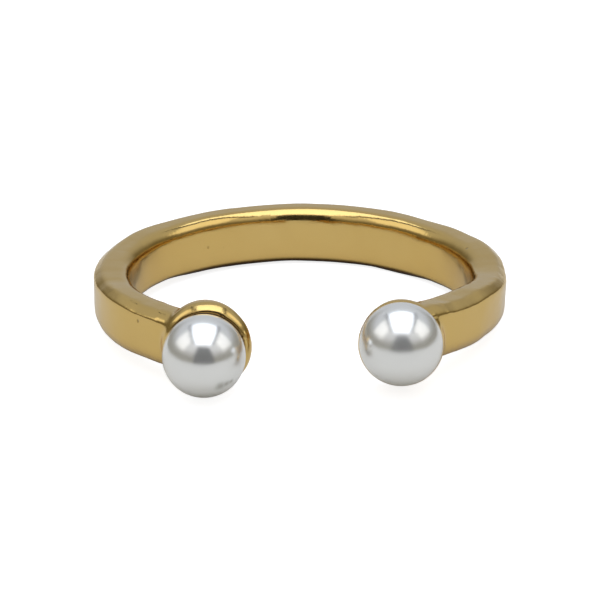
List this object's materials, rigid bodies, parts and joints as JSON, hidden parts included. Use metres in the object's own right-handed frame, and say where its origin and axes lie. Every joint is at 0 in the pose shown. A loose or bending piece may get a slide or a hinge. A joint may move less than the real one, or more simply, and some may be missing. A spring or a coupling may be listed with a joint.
{
  "type": "open cuff ring",
  "caption": "Open cuff finger ring in polished gold-tone metal, with a round cup holding a white pearl at each end of its plain band.",
  "frame": {"origin": "middle of the finger hole, on its axis, halfway up the band's width", "axes": "+Z runs along the finger hole, upwards as the ring lies on its side; -Y is towards the open gap with the two cups; +X is to the right as seen from the gap"},
  "size_m": [0.0214, 0.0227, 0.0049],
  "materials": {
    "gold": "polished, pale yellow gold-tone plating",
    "pearl": "white pearl lustre"
  },
  "bodies": {
    "root": {"band": "gold", "pearl_left": "pearl", "pearl_right": "pearl"}
  },
  "joints": []
}
